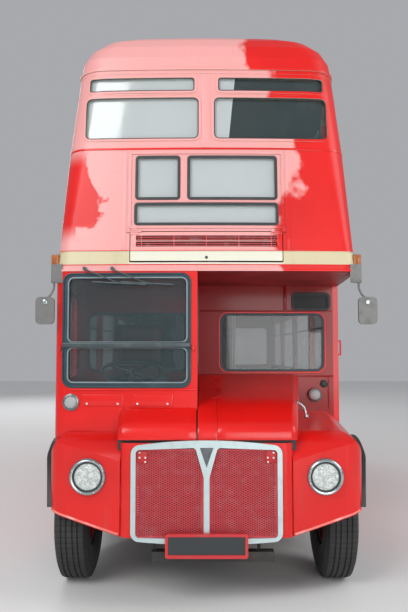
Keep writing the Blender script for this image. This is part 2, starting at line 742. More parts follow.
def turned_mesh(profile, sides, fill):
    """A round mesh about the z axis, from rings of a radius at a height."""
    radius, height = profile[0]
    deselect()
    bpy.ops.mesh.primitive_circle_add(vertices=sides, radius=radius, fill_type=fill, location=(0, 0, height))
    bpy.ops.object.transform_apply(location=True)
    with shaping():
        for (radius, height), (next_radius, next_height) in zip(profile, profile[1:]):
            bpy.ops.mesh.extrude_region_move(TRANSFORM_OT_translate={"value": (0, 0, next_height - height)})
            scale = next_radius / radius
            bpy.ops.transform.resize(value=(scale, scale, 1), center_override=(0, 0, next_height))
        if fill == "NOTHING":
            bpy.ops.mesh.select_all(action="DESELECT")
            bpy.ops.mesh.select_non_manifold()
            bpy.ops.mesh.bridge_edge_loops()
        bpy.ops.mesh.select_all(action="SELECT")
        bpy.ops.mesh.normals_make_consistent(inside=False)
    return bpy.context.object


ahead, behind = (0, -1, 0), (0, 1, 0)


def turned_piece(centre, direction, profile, sides=32):
    """A round piece from rings of a radius at a distance along the direction, closed at both ends."""
    piece = turned_mesh(profile, sides, "NGON")
    turn = Vector(direction).to_track_quat("Z", "Y").to_matrix().to_4x4()
    piece.matrix_world = Matrix.Translation(centre) @ turn
    bpy.ops.object.transform_apply(location=True, rotation=True, scale=True)
    smooth(35)
    return piece


lock_profile = [(0.011, 0.0), (0.011, 0.003), (0.009, 0.005), (0.005, 0.005), (0.005, 0.002)]
lock = turned_piece(on_front(0, 2.488, -0.001), ahead, lock_profile, 20)
add_piece(lock, "flap_lock", black_rubber, "intake_flap")

# Windscreen, its bar and the wipers
# The two panes stand in one thick grey rubber moulding. A round bar crosses it where the upper pane hinges,
# and two wipers are parked along its top.
screen_rubber = worn_finish("screen_rubber", (0.012, 0.04, 0.052), (0.06, 0.1, 0.115), 0.38, 5.0, 0.35)
wiper_metal = worn_finish("wiper_metal", (0.1, 0.125, 0.13), (0.03, 0.04, 0.04), 0.25, 20.0, 0.5, 0.6)
pale_lip = worn_finish("pale_lip", (0.2, 0.26, 0.28), (0.1, 0.13, 0.14), 0.32, 6.0, 0.5)
bar_grey = worn_finish("bar_grey", (0.055, 0.075, 0.08), (0.14, 0.16, 0.165), 0.28, 6.0, 0.4, 0.3)
dress(screen_rubber, "windscreen_frame")
dress(wiper_metal, "wipers")
lips = []
for z_low, z_high in ((1.853, 2.333), (1.555, 1.809)):
    lip = ring("front", -1.042, -0.14, z_low - 0.007, z_high + 0.007, 0.047, 0.01)
    lips.append(lay_on(lip, 0.004, 0.0018))
add_piece(lips, "windscreen_lips", pale_lip)
outer_lip = lay_on(ring("front", -1.08, -0.113, 1.512, 2.372, 0.07, 0.014), 0.009, 0.004)
add_piece(outer_lip, "windscreen_edge", screen_rubber)
bar = front_strip(-1.078, -0.116, 1.81, 1.852, 0.022, 0.014, 4)
add_piece(bar, "windscreen_bar", bar_grey)
brackets = [front_strip(x - 0.011, x + 0.011, 1.788, 1.822, 0.016, 0.005, 3) for x in (-1.096, -0.098)]
add_piece(brackets, "bar_brackets", coach_paint)

# Cab front below the windscreen
# A rounded ledge runs under the windscreen, over two flaps with small screwed catches.
ledge = front_strip(-1.118, -0.08, 1.494, 1.507, 0.01, 0.005, 3)
add_piece(ledge, "cab_ledge", coach_paint)
flap_lids, catches = [], []
for low, high in ((-0.929, -0.617), (-0.551, -0.248)):
    lid = divide(round_corners(panel("front", low, high, 1.379, 1.466), 0.007, 3))
    flap_lids.append(lay_on(lid, 0.003, 0.0013))
    for x in (low + 0.04, high - 0.04):
        seat = on_front(x, 1.395, 0.002)
        catches.append(turned_piece(seat, ahead, [(0.008, 0), (0.008, 0.002), (0.004, 0.004)], 12))
add_piece(flap_lids, "cab_flap_lids", coach_paint)
add_piece(catches, "cab_flap_screws", bright_trim)

# Cab inside
# The driver's compartment is painted grey, and its wall on the bonnet's side is red outside. A black steering
# wheel stands on a raked column.
cab_grey = worn_finish("cab_grey", (0.115, 0.125, 0.125), (0.05, 0.05, 0.048), 0.55, 5.0, 0.5)
wheel_black = worn_finish("wheel_black", (0.018,) * 3, (0.08, 0.075, 0.07), 0.32, 10.0, 0.3, coat=0.3)
dress(cab_grey, "cab_floor")
dress(wheel_black, "steering_wheel", "steering_column")
wall = Finish("cab_wall")
stain = wall.noise(4.0, 5.0)
grey = wall.mix(stain.ramp(0.4, 0.7), (0.115, 0.125, 0.125), (0.07, 0.075, 0.075))
red = wall.mix(stain.ramp(0.4, 0.7), (0.36, 0.01, 0.012), (0.27, 0.01, 0.012))
bonnet_side = wall.parts(wall.facing)[0] > 0.3
wall.set(Base_Color=wall.mix(bonnet_side, grey, red), Roughness=0.35 + stain * 0.15)
dress(wall, "cab_inner_wall")
dials = []
for x, radius in ((-0.66, 0.05), (-0.53, 0.036), (-0.8, 0.036)):
    profile = [(radius, 0), (radius, 0.012), (radius * 0.9, 0.016), (radius * 0.85, 0.012)]
    dials.append(turned_piece(on_frame(x, 0.516, 1.42), behind, profile, 24))
add_piece(dials, "cab_dials", wheel_black)

# Front bulkhead over the bonnet
# The saloon's front wall is dark red under the canopy. A rubber ring in a red rim holds its window, and the
# black box above it has a blank blind.


def press(sheet, station, stand, edge, segments=2):
    """Moves a sheet back to a flat wall across the bus and gives it its thickness."""
    for vertex in sheet.data.vertices:
        vertex.co.y = front_y + station
    return thicken(sheet, stand, edge, segments)


rim = press(ring("front", 0.112, 1.103, 1.58, 2.147, 0.092, 0.016), bulkhead_station, 0.009, 0.004, 3)
add_piece(rim, "bulkhead_window_rim", coach_paint)
rubbers = []
for low, high in ((0.126, 1.089), (-1.089, -0.126)):
    rubber = ring("front", low, high, 1.594, 2.133, 0.08, 0.022)
    rubbers.append(press(rubber, bulkhead_station, 0.006, 0.002))
add_piece(rubbers, "bulkhead_window_rubber", screen_rubber)
wall_strips = [press(panel("front", *edges), bulkhead_station, 0.008, 0.003) for edges in (
    (0.715, 0.745, 2.16, 2.38),
    (-0.06, 1.165, 2.148, 2.158),
    (-0.06, 1.165, 1.546, 1.561),
    (1.118, 1.128, 1.262, 1.54),
)]
add_piece(wall_strips, "bulkhead_strips", shaded_paint)
box_rim = press(ring("front", 0.788, 1.147, 2.155, 2.322, 0.046, 0.028), 1.488, 0.004, 0.0015)
add_piece(box_rim, "number_box_rim", black_rubber)
blank = press(round_corners(panel("front", 0.81, 1.125, 2.177, 2.3), 0.012), 1.4965, 0.001, 0.0)
blank_black = worn_finish("blank_black", (0.026, 0.031, 0.034), (0.04, 0.045, 0.047), 0.6, 6.0, 0.4)
add_piece(blank, "number_box_blank", blank_black)
stop_profile = [(0.034, 0), (0.034, 0.012), (0.028, 0.02), (0.016, 0.024), (0.004, 0.025)]
stop = turned_piece(on_frame(1.08, bulkhead_station, 1.485), ahead, stop_profile, 24)
add_piece(stop, "bulkhead_stop", black_rubber)

# Deck floor and canopy
# One floor carries the upper deck: dark red gloss under the canopy, cream over the lower saloon, and brown
# ribbed lino on top.
board = Finish("deck_board")
x, y, z = board.parts(board.place)
upwards = board.parts(board.facing)[2] > 0.3
stain = board.noise(3.0, 5.0)
rib = abs((x / 0.016) % 1.0 - 0.5)
below = board.mix(stain.ramp(0.4, 0.7), (0.3, 0.016, 0.018), (0.2, 0.012, 0.013))
below = board.mix(y > front_y + 1.55, below, ceiling_cream)
above = board.mix(rib > 0.42, (0.13, 0.075, 0.05), (0.04, 0.03, 0.025))
board.set(Base_Color=board.mix(upwards, below, above), Roughness=0.35 + stain * 0.2)
board.bump(rib * upwards, 0.3, 0.001)
dress(board, "deck_floor")

# Bonnet
# The engine cover is one pressed panel, hinged beside a fixed spine, with a chromed lever on its free side
# that holds it down. Rubber strips lie behind the nose and under the spine.
chrome = worn_finish("chrome", (0.42, 0.47, 0.48), (0.24, 0.26, 0.26), 0.16, 25.0, 0.45, 0.9, 0.03)
lever_points = [
    on_frame(0.712, 0.52, 1.385), on_frame(0.742, 0.505, 1.372), on_frame(0.76, 0.49, 1.335),
    on_frame(0.764, 0.482, 1.29),
]
lever = tube(lever_points, 0.009, 12, smoothed=True)
grip = turned_piece(lever_points[-1] + Vector((0, 0, 0.012)), (0.05, 0, -1), [
    (0.01, 0), (0.016, 0.004), (0.018, 0.012), (0.018, 0.02), (0.014, 0.028), (0.005, 0.031),
], 20)
foot_profile = [(0.02, 0), (0.02, 0.01), (0.012, 0.016)]
foot = turned_piece(on_frame(0.7, 0.526, 1.388), (1, -0.15, 0), foot_profile, 20)
add_piece([lever, grip, foot], "bonnet_lever", chrome, "bonnet")


def bonnet_sheet(profile, x_in, x_out_at, round_radius, low_at=None):
    """A panel over a side profile, from x_in out to its rounded side and down to its lower edge."""
    points = []
    for k, (station, level) in enumerate(profile):
        before, after = profile[max(0, k - 1)], profile[min(len(profile) - 1, k + 1)]
        run = Vector((after[0] - before[0], after[1] - before[1])).normalized()
        normal = Vector((-run.y, run.x))
        bend_x = x_out_at(station) - round_radius
        row = [(x_in + (bend_x - x_in) * j / 8, station, level) for j in range(9)]
        for j in range(1, 8):
            turn = radians(90 * j / 7)
            x, lift = bend_x + round_radius * sin(turn), round_radius * (cos(turn) - 1)
            row.append((x, station + normal.x * lift, level + normal.y * lift))
        if low_at:
            x, side_station, side_level = row[-1]
            row.append((x, side_station, min(low_at(side_station), side_level - 0.001)))
        points += [on_frame(*place) for place in row]
    return mesh_piece(points, grid_faces(len(profile), len(row)))


def mirror_across(piece):
    """Turns a piece into its likeness on the other side of the bus."""
    piece.data.transform(Matrix.Diagonal((-1, 1, 1, 1)))
    piece.data.flip_normals()
    return piece


def wall_inwards(sheet):
    apply_modifier(sheet, "SOLIDIFY", thickness=0.016, offset=-1.0)
    return sheet


nose_profile = [
    (0.073, 1.16), (0.0745, 1.185), (0.079, 1.212), (0.088, 1.236), (0.102, 1.256), (0.123, 1.274),
    (0.155, 1.296), (0.2, 1.324), (0.25, 1.35), (0.292, 1.3685),
]
top_profile = nose_profile + [
    (0.35, 1.389), (0.42, 1.407), (0.49, 1.4215), (0.56, 1.4325), (0.8, 1.4688), (1.1, 1.5141),
    (1.35, 1.5519), (1.499, 1.574),
]
nose_half, hinge_x = 0.64, 0.077
lid = bonnet_sheet(
    top_profile, 0.0785, lambda t: nose_half + 0.217 * t / 1.55, 0.062,
    lambda t: 1.162 + 0.084 * min(1, t / 1.5),
)
round_edges(wall_inwards(lid), 0.003, angle=60)
smooth(40)
add_piece(lid, "bonnet_lid", coach_paint, "bonnet")
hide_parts("bonnet")
nose = mirror_across(
    bonnet_sheet(nose_profile, 0.074, lambda t: nose_half, 0.06, lambda t: 1.162 + 0.2 * max(0, t - 0.13))
)
spine = bonnet_sheet(top_profile, -0.062, lambda t: 0.0765, 0.001)
fixed_skin = join([wall_inwards(nose), wall_inwards(spine)])
round_edges(fixed_skin, 0.003, angle=60)
smooth(40)
add_piece(fixed_skin, "bonnet_fixed_skin", coach_paint)
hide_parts("bonnet_fixed")
front_seal = press(panel("front", -0.63, 0.635, 1.085, 1.215), 0.112, 0.004, 0.001)
joint_seal = bonnet_sheet([(t, z - 0.02) for t, z in top_profile[1:]], -0.09, lambda t: -0.045, 0.001)
add_piece([front_seal, wall_inwards(joint_seal)], "bonnet_seals", black_rubber)

top_slope = 0.151
barrel_ends = {"bonnet": [(-0.03, 0.03)], "body": [(-0.055, -0.0303), (0.0303, 0.055)]}
for body, x in (("bonnet", 0.1), ("body", 0.058)):
    leaves = []
    for station in (0.56, 0.96, 1.36):
        level = 1.4325 + (station - 0.56) * top_slope
        middle = on_frame(x, station, level + 0.0025)
        leaves.append(block((0.034, 0.09, 0.004), middle, 0.0018, slope=0.1499))
        pin = on_frame(hinge_x, station, level + 0.0056)
        for ends in barrel_ends[body]:
            leaves.append(tube([pin + Vector((0, along, along * top_slope)) for along in ends], 0.005, 12))
    add_piece(leaves, "bonnet_hinge_leaves_" + body, coach_paint, body)

# Radiator grille
# A bright cast band, arched at the top, parts in a V round a blank three-cornered plate. Behind it are two
# sheets of red expanded metal, each pressed from one sheet so that its strands cross in flat diamonds.
grille_metal = worn_finish("grille_metal", (0.48, 0.58, 0.59), (0.4, 0.38, 0.38), 0.3, 14.0, 0.35, 0.45)
dress(grille_metal, "grille_frame")
strand_pitch, strand_width, strand_slope = 0.0144, 0.0058, radians(26.6)
mesh_low_x, mesh_high_x, mesh_low, mesh_high = 0.023, 0.493, 0.494, 1.098
mesh_middle = Vector(((mesh_low_x + mesh_high_x) / 2, 0, (mesh_low + mesh_high) / 2))
strand_length, strand_count = 1.3, 76


def strand_layer(turn, depth):
    """One set of slanting strands of half the grille, cut to its four edges."""
    deselect()
    bpy.ops.mesh.primitive_plane_add(size=1, rotation=(pi / 2, 0, 0))
    strand = bpy.context.object
    strand.scale = (strand_length, strand_width, 1)
    bpy.ops.object.transform_apply(location=True, rotation=True, scale=True)
    apply_modifier(strand, "SOLIDIFY", thickness=0.0016, offset=0.0)
    slant = Matrix.Translation(mesh_middle) @ Matrix.Rotation(turn, 4, "Y")
    layer = join([
        copy_of(strand, slant @ Matrix.Translation((0, 0, k * strand_pitch)))
        for k in range(-strand_count // 2, strand_count // 2 + 1)
    ])
    bpy.data.objects.remove(strand)
    with shaping():
        for place, normal in (
            ((mesh_low_x, 0, 0), (-1, 0, 0)), ((mesh_high_x, 0, 0), (1, 0, 0)),
            ((0, 0, mesh_low), (0, 0, -1)), ((0, 0, mesh_high), (0, 0, 1)),
        ):
            bpy.ops.mesh.select_all(action="SELECT")
            bpy.ops.mesh.bisect(plane_co=place, plane_no=normal, clear_outer=True, use_fill=False)
    layer.data.transform(Matrix.Translation((0, front_y + 0.062 + depth, 0)))
    return layer


crossings = ((strand_slope, 0.001), (-strand_slope, 0.0026))
sheets = [strand_layer(turn, depth) for turn, depth in crossings]
sheets += [mirror_across(strand_layer(turn, depth)) for turn, depth in crossings]
for side in (1, -1):
    for low, high, z_low, z_high in (
        (0.02, 0.034, 0.49, 1.1), (0.482, 0.496, 0.49, 1.1),
        (0.034, 0.482, 0.49, 0.504), (0.034, 0.482, 1.086, 1.1),
    ):
        border = panel("front", *sorted((side * low, side * high)), z_low, z_high)
        sheets.append(press(border, 0.0645, 0.0045, 0.001))
    corner = round_corners(panel("front", *sorted((side * 0.416, side * 0.49)), 1.006, 1.086), 0.01, 4)
    sheets.append(press(corner, 0.0612, 0.004, 0.0015))
mesh_paint = Finish("mesh_paint")
x, y, z = mesh_paint.parts(mesh_paint.place)
dust, dirt = mesh_paint.noise(14.0, 5.0), mesh_paint.noise(3.0, 4.0)
colour = mesh_paint.mix(dust.ramp(0.45, 0.7) * 0.6, (0.5, 0.034, 0.046), (0.5, 0.1, 0.11))
colour = mesh_paint.mix(dirt.ramp(0.5, 0.75) * 0.4, colour, (0.3, 0.022, 0.026))
colour = mesh_paint.mix((abs(x) > 0.41) * (z > 1.002), colour, (0.45, 0.014, 0.016))
mesh_paint.set(Base_Color=colour, Roughness=0.42 + dust * 0.2)
mesh_paint.bump(dust, 0.15, 0.001)
expanded_metal = add_piece(sheets, "expanded_metal", mesh_paint)
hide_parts("grille_mesh")

# Radiator core, and what is fixed to the grille
# Thin upright tubes crossed by fins, all black. The three-cornered plate in the V and the screws of the
# corner plates go on last.
core = Finish("radiator_core")
x, y, z = core.parts(core.place)
dust = core.noise(6.0, 5.0)
tube_line, fin_line = abs((x / 0.012) % 1.0 - 0.5), abs((z / 0.004) % 1.0 - 0.5)
colour = core.mix(tube_line.ramp(0.3, 0.42), (0.02, 0.016, 0.016), (0.05, 0.034, 0.032))
core.set(Base_Color=core.mix(dust.ramp(0.5, 0.8) * 0.5, colour, (0.09, 0.06, 0.05)), Roughness=0.6)
core.bump(tube_line + fin_line * 0.4, 0.6, 0.004)
dress(core, "radiator")
blank_plate = panel("front", -0.046, 0.046, 0.976, 1.109)
for vertex in blank_plate.data.vertices:
    if vertex.co.z < 1.0:
        vertex.co.x = 0.0
with shaping():
    bpy.ops.mesh.remove_doubles(threshold=0.001)
press(blank_plate, 0.0478, 0.003, 0.001)
plate_grey = worn_finish("plate_grey", (0.105, 0.115, 0.125), (0.05, 0.05, 0.052), 0.4, 18.0, 0.5, 0.3)
add_piece(blank_plate, "grille_blank_plate", plate_grey)
screw_profile = [(0.007, 0), (0.007, 0.002), (0.004, 0.0035)]
screws = [
    turned_piece(on_frame(side * x, 0.0575, z), ahead, screw_profile, 10)
    for side in (1, -1) for x, z in ((0.43, 1.04), (0.47, 1.04), (0.43, 1.01), (0.47, 1.075))
]
add_piece(screws, "corner_plate_screws", bright_trim)

# Headlamps
# A chromed rim, turned from brass, clamps a domed and fluted lens over a silvered bowl. Eight screws hold it.


def lens_finish(name, tint, cover, pitch):
    """Pressed glass with upright flutes."""
    glass = Finish(name)
    flute = abs((glass.parts(glass.place)[0] / pitch) % 1.0 - 0.5)
    haze = glass.noise(12.0, 4.0)
    glass.set(Base_Color=glass.mix(flute * 1.2, tint, tuple(0.55 * value for value in tint)))
    glass.set(Roughness=0.05 + haze * 0.06, Alpha=cover + haze * 0.1)
    glass.bump(flute, 0.5, 0.004)
    return glass


silvered = Finish("silvered_bowl")
swirl = silvered.noise(26.0, 3.0, distortion=2.2)
colour = silvered.mix(swirl.ramp(0.42, 0.6), (0.34, 0.4, 0.38), (0.95, 0.96, 0.9))
silvered.set(Base_Color=colour, Roughness=0.22 + swirl * 0.2, Metallic=0.35)
silvered.bump(swirl, 0.4, 0.004)
screw_profile = [(0.0042, 0), (0.0042, 0.0016), (0.0022, 0.0028)]
rims, gaskets, bowls, screws, lenses = [], [], [], [], []
for side in (1, -1):
    centre = on_frame(side * 0.842, 0.23, 0.898)
    rims.append(turned_piece(centre, ahead, [
        (0.112, 0.02), (0.13, 0.02), (0.1302, 0.116), (0.129, 0.126), (0.124, 0.135), (0.116, 0.139),
        (0.108, 0.137), (0.104, 0.129), (0.1035, 0.118),
    ], 56))
    gaskets.append(turned_piece(centre, ahead, [
        (0.1035, 0.12), (0.1035, 0.127), (0.094, 0.127), (0.094, 0.121),
    ], 48))
    bowls.append(turned_piece(centre, ahead, [
        (0.0945, 0.1215), (0.091, 0.1215), (0.086, 0.117), (0.066, 0.108), (0.044, 0.103), (0.02, 0.101),
    ], 48))
    for k in range(8):
        turn = radians(22.5 + 45 * k)
        seat = centre + Vector((cos(turn) * 0.1165, -0.1385, sin(turn) * 0.1165))
        screws.append(turned_piece(seat, ahead, screw_profile, 8))
    lenses.append(turned_piece(centre, ahead, [
        (0.088, 0.124), (0.094, 0.1245), (0.093, 0.128), (0.084, 0.136), (0.066, 0.144), (0.044, 0.149),
        (0.02, 0.1515), (0.006, 0.152),
    ], 48))
headlamp_rims = add_piece(rims, "headlamp_rims", chrome)
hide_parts("headlamps")
lamp_lens = lens_finish("lamp_lens", (0.8, 0.85, 0.84), 0.22, 0.011)
add_piece(lenses, "headlamp_lenses", lamp_lens)
add_piece(bowls, "headlamp_bowls", silvered)
add_piece(gaskets, "headlamp_gaskets", black_rubber)
add_piece(screws, "headlamp_screws", bright_trim)

# Sidelights, ear lamps and tail lamps
# The sidelights have small chromed rims, one on the cab and one on a drum on the bulkhead. Amber ear lamps
# hang on the canopy's corners, and red tail lamps sit in pairs on the rear panel.
dull_chrome = worn_finish("dull_chrome", (0.2, 0.23, 0.24), (0.12, 0.13, 0.13), 0.22, 25.0, 0.45, 0.8, 0.03)
clear_lens = lens_finish("clear_lens", (0.62, 0.67, 0.67), 0.5, 0.009)
amber_lens = lens_finish("amber_lens", (0.42, 0.13, 0.035), 0.94, 0.012)
red_lens = lens_finish("red_lens", (0.42, 0.01, 0.012), 0.95, 0.009)
rims, side_lenses, tail_lenses = [], [], []
cab_light = on_front(-1.008, 1.405)
for place, drum in ((cab_light, 0.0), (on_frame(0.992, bulkhead_station, 1.386), 0.045)):
    rims.append(turned_piece(place, ahead, [
        (0.056, -0.004), (0.0605, drum + 0.002), (0.0615, drum + 0.01), (0.058, drum + 0.017),
        (0.051, drum + 0.019), (0.047, drum + 0.013), (0.03, drum + 0.006), (0.01, drum + 0.004),
    ], 40))
    side_lenses.append(turned_piece(place, ahead, [
        (0.044, drum + 0.011), (0.047, drum + 0.014), (0.045, drum + 0.022), (0.036, drum + 0.031),
        (0.02, drum + 0.037), (0.005, drum + 0.039),
    ], 32))
rims.append(turned_piece(cab_light, ahead, [(0.064, -0.002), (0.064, 0.002), (0.06, 0.004)], 40))
tail_rim = [(0.042, 0), (0.042, 0.008), (0.038, 0.0115), (0.034, 0.01)]
tail_lens = [(0.034, 0.008), (0.033, 0.0115), (0.02, 0.0133), (0.005, 0.0135)]
for x, station in ((-0.88, 8.366), (0.34, 8.3785)):
    for level in (0.9, 1.01):
        place = on_frame(x, station - 0.01, level)
        rims.append(turned_piece(place, behind, tail_rim, 32))
        tail_lenses.append(turned_piece(place, behind, tail_lens, 28))
small_lamp_rims = add_piece(rims, "small_lamp_rims", dull_chrome)
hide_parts("small_lamps")
add_piece(side_lenses, "sidelight_lenses", clear_lens)
add_piece(tail_lenses, "tail_lamp_lenses", red_lens)
for name, size, station, finish, slot in (
    ("ear_lamp_lenses", (0.062, 0.034, 0.104), 0.392, amber_lens, "lamp_glass"),
    ("ear_lamp_bases", (0.068, 0.026, 0.114), 0.412, black_rubber, "rubber"),
):
    blocks = []
    for side in (1, -1):
        blocks.append(block(size, on_frame(side * 1.15, station, 2.467), 0.01, 4))
        smooth(40)
    add_piece(blocks, name, finish)

# Mirrors
# Pressed heads with round corners on bent arms. The glass looks backwards.
mirror_shell = worn_finish("mirror_shell", (0.16, 0.16, 0.155), (0.1, 0.1, 0.095), 0.42, 12.0, 0.5, 0.3)
mirror_glass = worn_finish("mirror_glass", (0.8, 0.83, 0.84), (0.55, 0.56, 0.56), 0.03, 8.0, 0.2, 1.0, 0.0)
dress(mirror_shell, "mirrors")
clamp_profile = [(0.01, 0), (0.018, 0.002), (0.02, 0.008), (0.018, 0.014)]
glasses, clamps = [], []
for side in (1, -1):
    glass = round_corners(panel("rear", *sorted((side * 1.145, side * 1.265)), 1.995, 2.18), 0.026)
    glasses.append(press(glass, 0.3152, 0.0012, 0.0))
    clamps.append(turned_piece(on_frame(side * 1.205, 0.282, 2.15), behind, clamp_profile, 20))
add_piece(glasses, "mirror_glasses", mirror_glass)
add_piece(clamps, "mirror_clamps", chrome)

# Number plate
# A red box frame at the foot of the grille. Its black face is left blank.
plate_paint = worn_finish("plate_paint", (0.5, 0.014, 0.02), (0.3, 0.05, 0.05), 0.32, 10.0, 0.4, coat=0.3)
dress(plate_paint, "number_plate_box")
face = press(round_corners(panel("front", -0.2655, 0.2655, 0.3875, 0.5085), 0.005, 3), 0.0055, 0.001, 0.0)
add_piece(face, "number_plate_blank", blank_black)

# Wing edges and the bands of the front wheel arches
# The lower edge of each wing is rolled over a wire, and a black rubber band stands out behind it, round the
# arch, to keep spray off the bodywork.
wings = nodes["front_wings"].data
wing_faces = [tuple(face.vertices) for face in wings.polygons]
wing_surface = BVHTree.FromPolygons([vertex.co for vertex in wings.vertices], wing_faces)
wing_in, wing_out, wing_in_level, wing_out_level = 0.612, 1.16, 0.487, 0.645
arch_inner, arch_outer, arch_steps = 0.586, 0.6, 40
rounding, lift = 0.004, 0.012
wires, bands = [], []
for side in (1, -1):
    points = []
    for k in range(13):
        x = 0.622 + 0.528 * k / 12
        level = wing_in_level + (x - wing_in) * (wing_out_level - wing_in_level) / (wing_out - wing_in) + lift
        hit = wing_surface.ray_cast(Vector((side * x, -6, level)), Vector((0, 1, 0)))[0]
        if hit:
            points.append(hit + Vector((0, 0.002, 0)))
    wires.append(tube(points, 0.009, 16))
    corners = []
    for k in range(arch_steps + 1):
        turn = radians(15 + 150 * k / arch_steps)
        back, up = -cos(turn), sin(turn)
        station = front_axle_station + back * arch_outer
        beside = on_frame(side * 2, station, axle_level + up * arch_outer + lift)
        hit = wing_surface.ray_cast(beside, Vector((-side, 0, 0)))[0]
        reach = min(1.212, 1.15 + 0.25 * (station - 0.213))
        inner_x = min(abs(hit.x) if hit and abs(hit.x) > 0.9 else 1.14, reach - 0.02) - 0.012
        for radius, x in (
            (arch_inner, inner_x), (arch_inner, reach - rounding), (arch_inner + rounding, reach),
            (arch_outer - rounding, reach), (arch_outer, reach - rounding), (arch_outer, inner_x),
        ):
            corners.append(on_frame(side * x, front_axle_station + back * radius, axle_level + up * radius))
    faces = [
        (6 * k + j, 6 * k + (j + 1) % 6, 6 * k + 6 + (j + 1) % 6, 6 * k + 6 + j)
        for k in range(arch_steps) for j in range(6)
    ]
    faces += [tuple(range(6)), tuple(range(6 * arch_steps, 6 * arch_steps + 6))]
    band = mesh_piece(corners, faces)
    activate(band)
    with shaping():
        bpy.ops.mesh.normals_make_consistent(inside=False)
    bands.append(band)
wing_wires = join(wires)
smooth(50)
wire_paint = worn_finish("wire_paint", (0.8, 0.16, 0.13), (0.85, 0.5, 0.46), 0.25, 9.0, 0.6, coat=0.4)
add_piece(wing_wires, "wing_wires", wire_paint)
arch_bands = join(bands)
smooth(35)
add_piece(arch_bands, "arch_bands", black_rubber)
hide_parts("wing_flares")

# Tyres
# Each tyre has ribbed tread between square shoulders, and a wall that bulges over its rim. The rubber is
# black where it is scrubbed and grey with road dust elsewhere.
# radius, distance from the middle
half_section = [
    (0.2545, 0.08), (0.262, 0.1), (0.285, 0.113), (0.3, 0.116), (0.304, 0.1185), (0.35, 0.124),
    (0.395, 0.125), (0.436, 0.121), (0.44, 0.1225), (0.47, 0.114), (0.486, 0.106), (0.499, 0.1),
    (0.5035, 0.086), (0.5045, 0.07), (0.5045, 0.067), (0.494, 0.064), (0.494, 0.057), (0.505, 0.054),
    (0.505, 0.03), (0.494, 0.027), (0.494, 0.02), (0.505, 0.017),
]
tyre_section = half_section + [(radius, -x) for radius, x in half_section[::-1]]
sipe_count = 72


def tyre_finish(name, station):
    """Rubber with sipes across its tread and shoulders, all round one axle."""
    rubber = Finish(name)
    x, y, z = rubber.parts(rubber.place)
    across, up = y - (front_y + station), z - axle_level
    turn = across.maths("ARCTAN2", up)
    radius = (across * across + up * up).maths("SQRT")
    sipe = ((turn * (sipe_count / (2 * pi))) % 1.0 < 0.16) * (radius > 0.47)
    dust = rubber.noise(5.0, 5.0)
    tread = radius.ramp(0.488, 0.5)
    colour = rubber.mix(dust.ramp(0.35, 0.75) * 0.6, (0.016, 0.017, 0.018), (0.06, 0.058, 0.054))
    colour = rubber.mix(tread * 0.5, colour, (0.03, 0.031, 0.033))
    rubber.set(Base_Color=rubber.mix(sipe * 0.8, colour, (0.004, 0.004, 0.004)), Roughness=0.62 + dust * 0.25)
    rubber.bump(rubber.noise(120.0, 2.0) * 0.15 - sipe, 0.8, 0.004)
    return rubber


def tyre_ring(x_middle, station):
    """A tyre turned about its axle line from its section, and closed round the rim."""
    tyre = turned_mesh(tyre_section, 96, "NOTHING")
    hub = Matrix.Translation(on_frame(x_middle, station, axle_level))
    tyre.data.transform(hub @ Matrix.Rotation(pi / 2, 4, "Y"))
    return tyre


# end, CAD tyres, pieces, axle station, middles of the tyres, disc and hub across
axles = (
    ("front", "tyre_front_", "ribbed_tyre_front_", front_axle_station, (1.008,), 1.062, 1.108),
    ("rear", "tyres_rear_", "ribbed_tyres_rear_", rear_axle_station, (0.75, 1.06), 1.014, 1.1),
)
side_names = ((1, "near"), (-1, "off"))
for end, cad_tyres, pieces, station, middles, disc_x, hub_x in axles:
    tyre_rubber = tyre_finish(end + "_tyre_rubber", station)
    for side, side_name in side_names:
        tyre = join([tyre_ring(side * x, station) for x in middles])
        smooth(30)
        add_piece(tyre, pieces + side_name, tyre_rubber, "wheel_%s_%s" % (end, side_name))
        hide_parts(cad_tyres + side_name)

# Wheel rims, nuts and hub bolts
# Pressed steel discs painted red, dirty round their hand holes, are held by ten nuts on their studs, and the
# hub cap by eight bolts.
wheel_red = worn_finish("wheel_red", (0.3, 0.014, 0.012), (0.06, 0.035, 0.03), 0.42, 7.0, 0.75)
nut_steel = worn_finish("nut_steel", (0.3, 0.28, 0.26), (0.12, 0.07, 0.05), 0.45, 30.0, 0.7, 0.7)
dress(wheel_red, "rim_front_near", "rim_front_off", "rims_rear_near", "rims_rear_off")
nut_profile = [
    (0.016, -0.003), (0.016, 0.014), (0.013, 0.017), (0.0085, 0.017), (0.0085, 0.026), (0.006, 0.028),
]
bolt_profile = [(0.011, -0.003), (0.011, 0.008), (0.008, 0.01)]
for end, cad_tyres, pieces, station, middles, disc_x, hub_x in axles:
    for side, side_name in side_names:
        fixings = []
        for count, radius, x, profile in ((10, 0.14, disc_x, nut_profile), (8, 0.085, hub_x, bolt_profile)):
            for k in range(count):
                turn = 2 * pi * k / count
                seat = on_frame(side * x, station + cos(turn) * radius, axle_level + sin(turn) * radius)
                fixings.append(turned_piece(seat, (side, 0, 0), profile, 6))
        wheel = "%s_%s" % (end, side_name)
        add_piece(fixings, "wheel_nuts_" + wheel, nut_steel, "wheel_" + wheel)

# Chassis, engine and axles
# Castings and rails painted black or grey long ago, and since then covered by oil and road dirt.
oily_cast = worn_finish("oily_cast", (0.06, 0.058, 0.052), (0.025, 0.018, 0.013), 0.55, 6.0, 0.8, 0.2, 0.3)
chassis_black = worn_finish("chassis_black", (0.022, 0.022, 0.022), (0.085, 0.068, 0.052), 0.58, 5.0, 0.7)
dress(oily_cast, "engine", "transmission", "front_axle", "rear_axle", "knuckle_near", "knuckle_off")
dress(chassis_black, "underframe", "fuel_tank")

